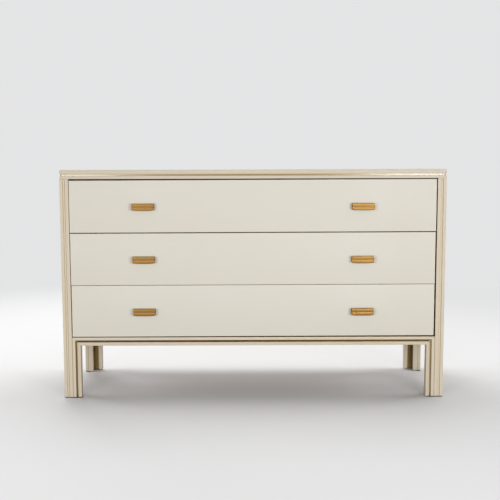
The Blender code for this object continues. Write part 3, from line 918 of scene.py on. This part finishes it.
def makeTop():
    setup = topSetup
    low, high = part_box("top_panel")
    half = (high - low) / 2
    radius = setup["cornerRadius"]
    line = topLine(setup, high.z - low.z)
    shape = bmesh.new()
    inset = line[0][0]
    underside = Matrix.Diagonal((half.x - inset, half.y - inset, 1, 1))
    underside = Matrix.Translation((0, middleY, low.z)) @ underside
    bmesh.ops.create_grid(shape, x_segments=1, y_segments=1, size=1.0, matrix=underside)
    ease(shape, shape.verts[:], radius - inset, setup["segments"], "VERTICES")
    ring = shape.edges[:]
    for inset, height in line[1:]:
        grown = bmesh.ops.extrude_edge_only(shape, edges=ring)["geom"]
        ring = only(BMEdge, grown)
        for vert in only(BMVert, grown):  # each ring keeps to the rounded corners
            centreX = math.copysign(half.x - radius, vert.co.x)
            centreY = middleY + math.copysign(half.y - radius, vert.co.y - middleY)
            out = Vector((vert.co.x - centreX, vert.co.y - centreY))
            out = out.normalized() * (radius - inset)
            vert.co = (centreX + out.x, centreY + out.y, low.z + height)
    bmesh.ops.contextual_create(shape, geom=ring)
    bmesh.ops.recalc_face_normals(shape, faces=shape.faces[:])
    stripTop = low.z + setup["strip"]

    def fluteGlaze(co):
        inset = min(half.x - abs(co.x), half.y - abs(co.y - middleY))
        under, over = co.z - stripTop, stripTop + setup["flute"] - co.z
        if min(under, over) < 0 or inset < 4 * hair:
            return 0.0
        lowFade, highFade = setup["glazeFade"]
        return setup["fluteGlaze"] * min(1.0, under / lowFade, over / highFade)

    markGlazeAndShade(shape, fluteGlaze)
    markWear(shape)
    standIn("top_panel", shape, topLacquer)


makeTop()
print("lowboy: top panel made")

# drawer fronts: eased all round, with the slot that holds the drawer bottom, and painted shade on
# their edges in the gaps
frontSetup = {
    "edge": 0.0011,
    "slotPlay": 0.0003,
    "stray": {  # how far the left, right, lower and upper edges of each front lie from true
        "bottom_drawer": (-0.0007, -0.0016, 0.0, 0.0009),
        "middle_drawer": (-0.0015, -0.0010, -0.0009, 0.0),
        "top_drawer": (-0.0018, 0.0, -0.0003, 0.0),
    },
    "skew": 0.0017,  # all three hang a little lower at the left
    "edgeShade": 1.0,  # the edges and end faces of the fronts, in the gaps, are dark brown: painted shade
    "shadeFrom": 0.95,  # share of the eased edge that stays free of the painted shade
}


def makeFront(drawer):
    node = drawer + "_front"
    low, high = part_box(node)
    left, right, lower, upper = frontSetup["stray"][drawer]
    low += Vector((left, 0, lower))
    high += Vector((right, 0, upper))
    slotLow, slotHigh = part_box(drawer + "_bottom")
    play = frontSetup["slotPlay"]
    shape = bmesh.new()
    size = high - low
    blank = Matrix.Translation((low + high) / 2) @ Matrix.Diagonal((*size, 1))
    bmesh.ops.create_cube(shape, size=1.0, matrix=blank)
    ease(shape, shape.edges[:], frontSetup["edge"])
    hang = Matrix.Identity(4)
    hang[2][0] = frontSetup["skew"]
    put(shape, hang)
    rear = max(shape.faces, key=lambda face: face.calc_center_median().y)
    geom = [rear, *rear.edges, *rear.verts]
    cuts = (
        ((0, 0, slotLow.z - play), (0, 0, 1)), ((0, 0, slotHigh.z + play), (0, 0, 1)),
        ((slotLow.x - play, 0, 0), (1, 0, 0)), ((slotHigh.x + play, 0, 0), (1, 0, 0)),
    )
    for point, normal in cuts:
        geom = split(shape, geom, point, normal)
    middle = Vector((0, high.y, (slotLow.z + slotHigh.z) / 2))
    slot = min(only(BMFace, geom), key=lambda face: (face.calc_center_median() - middle).length)
    sink(shape, slot, (0, slotLow.y - play - high.y, 0))
    clearOfShade = frontSetup["shadeFrom"] * frontSetup["edge"]

    # painted shade on the end faces between front and rear face
    def edgeShadeAt(co):
        fromFace = min(co.y - low.y, high.y - co.y)
        return frontSetup["edgeShade"] if fromFace > clearOfShade else 0.0

    markGlazeAndShade(shape, edgeShadeAt)
    markWear(shape)
    standIn(node, shape, frontLacquer)


# brass pulls: back plate, web and a lip of two reeds, bowed along the lower edge
pullSetup = {
    "plate": 0.002,
    "web": 0.0028,
    "lip": 0.003,
    "reedDrop": 0.0006,
    "reedPoint": 0.00101,  # where a reed's two flanks would meet
    "reedRadius": 0.0046,
    "lineRoot": 0.0003,  # between the reeds
    "edge": 0.0006,
    "lipEase": 0.0007,  # at the fingertips
    "hollowRadius": 0.0012,
    "rearEase": (0.0002, 0.0004),  # lower and upper edge against the drawer front
    "bow": 0.0022,
    "bowPower": 4,  # a flat middle that curves up towards the ends
    "cornerRadius": 0.0015,
    "cornerCuts": (0.08, 0.2, 0.4, 0.65, 0.95),  # shares of the radius, from the end
    "segments": 28,
    "hollowGlaze": 0.75,
    "lineGlaze": 0.10,
}


def pullCorners(setup, projection, half):
    face = projection - setup["reedDrop"]
    point = face + setup["reedPoint"]
    inner = projection - setup["lip"]
    underWeb = half - setup["web"]
    lowerRear, upperRear = setup["rearEase"]
    return [
        (0.0, -half, lowerRear),
        (setup["plate"], -half, setup["edge"]),
        (setup["plate"], underWeb, setup["hollowRadius"]),
        (inner, underWeb, setup["hollowRadius"]),
        (inner, -half, setup["lipEase"]),
        (face, -half, setup["edge"]),
        (point, -half / 2, setup["reedRadius"]),
        (face, 0.0, setup["lineRoot"]),
        (point, half / 2, setup["reedRadius"]),
        (face, half, setup["edge"]),
        (0.0, half, upperRear),
    ]


def makePull(node):
    setup = pullSetup
    low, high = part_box(node)
    half = (high - low) / 2
    middle = (low + high) / 2
    projection = high.y - low.y
    shape = flatProfile(pullCorners(setup, projection, half.z))
    pullBar(shape, 2 * half.x)
    bmesh.ops.translate(shape, verts=shape.verts[:], vec=(0, 0, -half.x))
    runs = [edge for edge in shape.edges if abs(edge.verts[0].co.z - edge.verts[1].co.z) > half.x]
    bmesh.ops.subdivide_edges(shape, edges=runs, cuts=setup["segments"], use_grid_fill=True)
    radius = setup["cornerRadius"]
    for share in setup["cornerCuts"]:
        for side in (-1, 1):
            geom = shape.verts[:] + shape.edges[:] + shape.faces[:]
            split(shape, geom, (0, 0, side * (half.x - radius * share)), (0, 0, 1))
    for vert in shape.verts:  # bowed lower edge with eased corners
        if vert.co.y < 0:
            lift = setup["bow"] * (vert.co.z / half.x) ** setup["bowPower"]
            past = max(0.0, abs(vert.co.z) - half.x + radius)
            lift += radius - math.sqrt(max(0.0, radius * radius - past * past))
            vert.co.y += lift * min(1.0, -vert.co.y / half.z)
    inner = projection - setup["lip"]
    underWeb = half.z - setup["web"]

    def pullGlaze(co):
        if setup["plate"] - 2 * hair < co.x < inner + 4 * hair and co.y < underWeb + 4 * hair:
            return setup["hollowGlaze"]
        inLine = inner < co.x < projection - near / 2 and abs(co.y) < near / 2
        return setup["lineGlaze"] if inLine else 0.0

    markGlazeAndShade(shape, pullGlaze)
    markWear(shape, Vector((0, 0, 1)))
    turned = Matrix(((0, 0, 1, 0), (-1, 0, 0, 0), (0, 1, 0, 0), (0, 0, 0, 1)))
    put(shape, Matrix.Translation((middle.x, high.y, middle.z)) @ turned)
    bmesh.ops.recalc_face_normals(shape, faces=shape.faces[:])
    standIn(node, shape, satinBrass)


for drawer in drawerNames:
    makeFront(drawer)
    for side in ("left", "right"):
        makePull(f"{drawer}_{side}_pull")
print("lowboy: drawer fronts and pulls made")

# boards that keep their sawn shape, with their edges broken by sandpaper
boardSetup = {
    "merge": 0.00001,
    "flatAngle": math.radians(1),  # flatter edges inside a face are taken out
    "cornerAngle": 1.0,  # radians; sharper outer edges are broken
    "segments": 3,
    "railStain": 0.004,  # how far the painted shade reaches back from the rail's front edge
}
boardPieces = (
    # node, edge radius, finish, slot
    ("left_side_panel", 0.0008, frameLacquer["Z"], "frame_lacquer"),
    ("right_side_panel", 0.0008, frameLacquer["Z"], "frame_lacquer"),
    ("back_panel", 0.0005, pressedBoard, "back_board"),
    ("bottom_panel", 0.0006, drawerWood["X"], "drawer_wood"),
    ("front_top_rail", 0.0008, drawerWood["X"], "drawer_wood"),
    ("rear_top_rail", 0.0008, drawerWood["X"], "drawer_wood"),
)
drawerBoards = (  # the same for each drawer
    ("left_runner", 0.0010, runnerWood, "runner_wood"),
    ("right_runner", 0.0010, runnerWood, "runner_wood"),
    ("left_side", 0.0010, drawerWood["Y"], "drawer_wood"),
    ("right_side", 0.0010, drawerWood["Y"], "drawer_wood"),
    ("back", 0.0010, drawerWood["X"], "drawer_wood"),
    ("bottom", 0.0004, drawerWood["X"], "drawer_wood"),
)


def makeBoardPiece(node, radius, finish, slot):
    shape = bmesh.new()
    shape.from_mesh(frame["nodes"][node].data)
    bmesh.ops.remove_doubles(shape, verts=shape.verts[:], dist=boardSetup["merge"])
    bmesh.ops.dissolve_limit(
        shape, angle_limit=boardSetup["flatAngle"], verts=shape.verts[:], edges=shape.edges[:]
    )
    outer = [item for item in shape.edges if item.is_manifold and item.is_convex]
    outer = [item for item in outer if item.calc_face_angle() > boardSetup["cornerAngle"]]
    ease(shape, outer, radius, boardSetup["segments"])
    if node == "front_top_rail":  # its edge behind the top gap is darkened with painted shade
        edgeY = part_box(node)[0].y
        markGlazeAndShade(shape, lambda co: 1.0 - (co.y - edgeY) / boardSetup["railStain"])
    markWear(shape)
    standIn(node, shape, finish)


for row in boardPieces:
    makeBoardPiece(*row)
for drawer in drawerNames:
    for end, *rest in drawerBoards:
        makeBoardPiece(f"{drawer}_{end}", *rest)
print("lowboy: boards eased")

# floor glides: two ribbed strips of nylon, mitred to an L under each leg
glideSetup = {
    "arm": 0.014,
    "edge": 0.0008,
    "upperEdge": 0.0003,
    "ribs": 3,
    "ribDepth": 0.0005,
    "ribEase": 0.0002,
}


def glideCorners(setup, height):
    # the strip's section with its grooved underside, as (across, up, radius)
    upper = setup["upperEdge"]
    outline = [(setup["arm"], height, upper), (0.0, height, upper), (0.0, 0.0, setup["edge"])]
    pitch = setup["arm"] / (2 * setup["ribs"] - 1)
    for rib in range(1, setup["ribs"]):
        start = (2 * rib - 1) * pitch
        for across, up in ((0, 0), (0, 1), (1, 1), (1, 0)):
            outline.append((start + across * pitch, up * setup["ribDepth"], setup["ribEase"]))
    return outline + [(setup["arm"], 0.0, setup["edge"])]


def makeGlides():
    low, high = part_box("front_left_glide")
    shape = flatProfile(glideCorners(glideSetup, high.z - low.z))
    pullBar(shape, high.x - low.x)
    put(shape, Matrix(((0, 0, 1, 0), (1, 0, 0, 0), (0, 1, 0, 0), (0, 0, 0, 1))))
    trim(shape, (seatGap / 2, 0, 0), Vector((-1, 1, 0)).normalized())
    swapped = Matrix(((0, 1, 0, 0), (1, 0, 0, 0), (0, 0, 1, 0), (0, 0, 0, 1)))
    inset = low.x + caseHalf
    for quarter, (corner, x, y) in enumerate(legCorners):
        place = quarterTurn(quarter, (x, y, low.z)) @ Matrix.Translation((inset, inset, 0))
        glide = scatter(shape, (place, place @ swapped))
        bmesh.ops.recalc_face_normals(glide, faces=glide.faces[:])
        standIn(corner + "_glide", glide, glideNylon)
    shape.free()


makeGlides()
print("lowboy: glides made")

# slotted screw heads behind the pulls and on the runners, pin heads round the back panel
fastenerSetup = {
    "pullScrew": {
        "radius": 0.0038, "height": 0.0021, "slot": 0.0011, "spread": 0.022,
        "turn": (0.6, 1.3),  # of the first slot, and further for the next
    },
    "runnerScrew": {
        "radius": 0.0034, "height": 0.0003, "slot": 0.0009, "inset": 0.040,
        "shares": (0.0, 0.5, 1.0),  # of the way along the runner
        "turn": (0.4, 0.9),
    },
    "backPin": {"radius": 0.0019, "height": 0.0007, "margin": 0.009, "pitch": 0.085},
}
headSetup = {  # taper and rim are shares of the radius, ease and slot depth of the height
    "screw": {"segments": 24, "taper": 0.92, "ease": 0.45},
    "pin": {"segments": 16, "taper": 1.0, "ease": 0.6},
    "easeSegments": 3,
    "rim": 0.10,  # round the slotted face
    "slotDepth": 0.6,
    "snap": 0.000002,  # finer than cutSnap, as the heads are small
}


def roundHead(setup, head):
    radius, height = setup["radius"], setup["height"]
    shape = bmesh.new()
    bmesh.ops.create_cone(
        shape, cap_ends=True, segments=head["segments"], radius1=radius,
        radius2=radius * head["taper"], depth=height,
        matrix=Matrix.Translation((0, 0, height / 2)),
    )
    rim = [edge for edge in shape.edges if all(vert.co.z > height / 2 for vert in edge.verts)]
    ease(shape, rim, height * head["ease"], headSetup["easeSegments"])
    return shape


def screwHead(setup):
    shape = roundHead(setup, headSetup["screw"])
    top = max(shape.faces, key=lambda face: face.calc_center_median().z)
    bmesh.ops.inset_region(shape, faces=[top], thickness=setup["radius"] * headSetup["rim"])
    geom = [top, *top.edges, *top.verts]
    for side in (-1, 1):
        geom = split(shape, geom, (0, side * setup["slot"] / 2, 0), (0, 1, 0), headSetup["snap"])
    strip = min(only(BMFace, geom), key=lambda face: abs(face.calc_center_median().y))
    sink(shape, strip, (0, 0, -setup["height"] * headSetup["slotDepth"]))
    return shape


def placeFacing(point, direction, turn=0.0):
    # a place whose +Z looks along direction, with the slot turned about it
    look = Vector(direction).to_track_quat("Z", "Y").to_matrix().to_4x4()
    return Matrix.Translation(point) @ look @ Matrix.Rotation(turn, 4, "Z")


def makePullScrews(drawer):
    setup = fastenerSetup["pullScrew"]
    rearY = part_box(drawer + "_front")[1].y
    places = []
    for side in ("left", "right"):
        low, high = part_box(f"{drawer}_{side}_pull")
        middle = (low + high) / 2
        for index, sign in enumerate((-1, 1)):
            point = (middle.x + sign * setup["spread"], rearY, middle.z)
            turn = setup["turn"][0] + setup["turn"][1] * index  # each slot its own way
            turn += middle.x + 2 * middle.z
            places.append(placeFacing(point, (0, 1, 0), turn))
    screws = scatter(screwHead(setup), places)
    addPiece(pieceName(drawer + "_pull_screws"), screws, platedSteel, drawer)


def makeRunnerScrews(drawer):
    setup = fastenerSetup["runnerScrew"]
    places = []
    for side, sign in (("left", -1), ("right", 1)):
        low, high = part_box(f"{drawer}_{side}_runner")
        inner = high.x if sign < 0 else low.x
        for index, share in enumerate(setup["shares"]):
            y = low.y + setup["inset"] + share * (high.y - low.y - 2 * setup["inset"])
            point = (inner, y, (low.z + high.z) / 2)
            turn = setup["turn"][0] + setup["turn"][1] * index + low.z
            places.append(placeFacing(point, (-sign, 0, 0), turn))
    screws = scatter(screwHead(setup), places)
    addPiece(pieceName(drawer + "_runner_screws"), screws, platedSteel, "carcass")


def makeBackPins():
    setup = fastenerSetup["backPin"]
    low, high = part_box("back_panel")
    left, right = low.x + setup["margin"], high.x - setup["margin"]
    bottom, top = low.z + setup["margin"], high.z - setup["margin"]
    across = round((right - left) / setup["pitch"])
    up = round((top - bottom) / setup["pitch"])
    columns = [left + (right - left) * step / across for step in range(across + 1)]
    rows = [bottom + (top - bottom) * step / up for step in range(1, up)]
    points = [(x, z) for x in columns for z in (bottom, top)]
    points += [(x, z) for z in rows for x in (left, right)]
    places = [placeFacing((x, high.y, z), (0, 1, 0)) for x, z in points]
    pins = scatter(roundHead(setup, headSetup["pin"]), places)
    addPiece("backPanelPins", pins, platedSteel, "carcass")


for drawer in drawerNames:
    makePullScrews(drawer)
    makeRunnerScrews(drawer)
makeBackPins()
print("lowboy: fasteners made")
